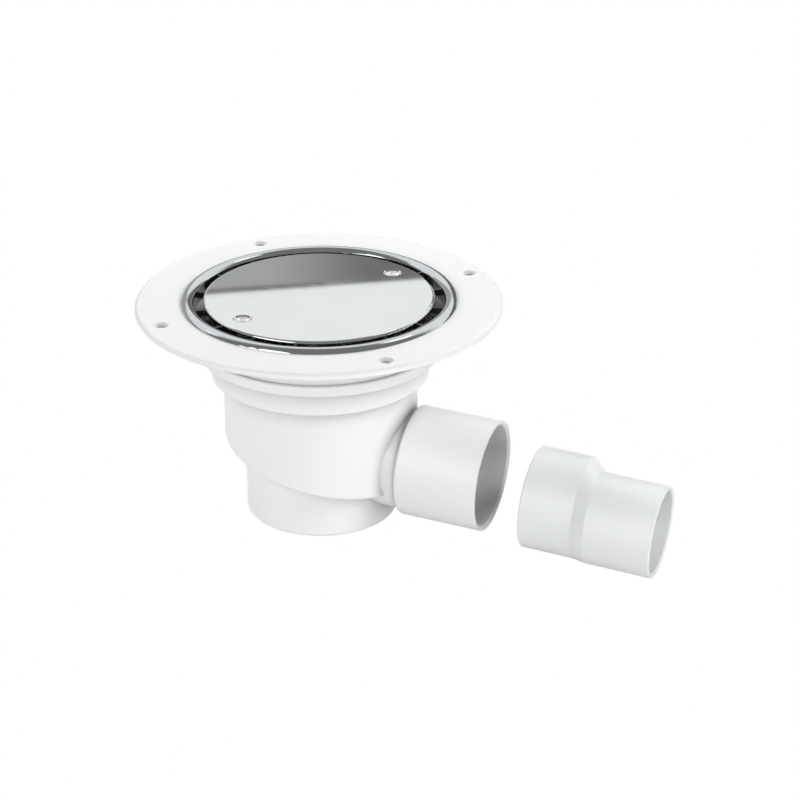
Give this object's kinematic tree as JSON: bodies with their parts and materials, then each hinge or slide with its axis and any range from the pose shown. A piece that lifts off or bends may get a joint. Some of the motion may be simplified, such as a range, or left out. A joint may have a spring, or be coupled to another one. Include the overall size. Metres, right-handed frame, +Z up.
{
  "type": "trapped shower gully",
  "caption": "Round floor gully for a shower: flanged plastic body with a bottle trap, polished cover with an edge drain slot, side outlet socket, and a loose offset reducer.",
  "frame": {"origin": "centre of the flange's underside, on the gully's own axis", "axes": "+Z up through the cover, +X along the outlet seen from above"},
  "size_m": [0.3006, 0.2, 0.1271],
  "materials": {
    "white_plastic": "glossy moulded white",
    "dip_tube_plastic": "satin moulded white",
    "reducer_plastic": "glossy moulded white",
    "seal_rubber": "matt black",
    "ring_steel": "polished stainless steel",
    "cover_steel": "mirror-polished stainless steel",
    "screw_steel": "bright stainless steel"
  },
  "bodies": {
    "root": {"flange_neck": "white_plastic", "seat_ring": "white_plastic", "chamber": "white_plastic", "trap_cup": "white_plastic", "outlet": "white_plastic", "dip_tube": "dip_tube_plastic", "dip_tube_seal": "seal_rubber", "clamp_ring": "ring_steel", "ring_hub": "ring_steel", "ring_webs": "ring_steel", "cover_plate": "cover_steel", "cover_screws": "screw_steel", "clamp_screws": "screw_steel", "weld_nuts": "screw_steel", "reducer": "reducer_plastic"}
  },
  "joints": []
}
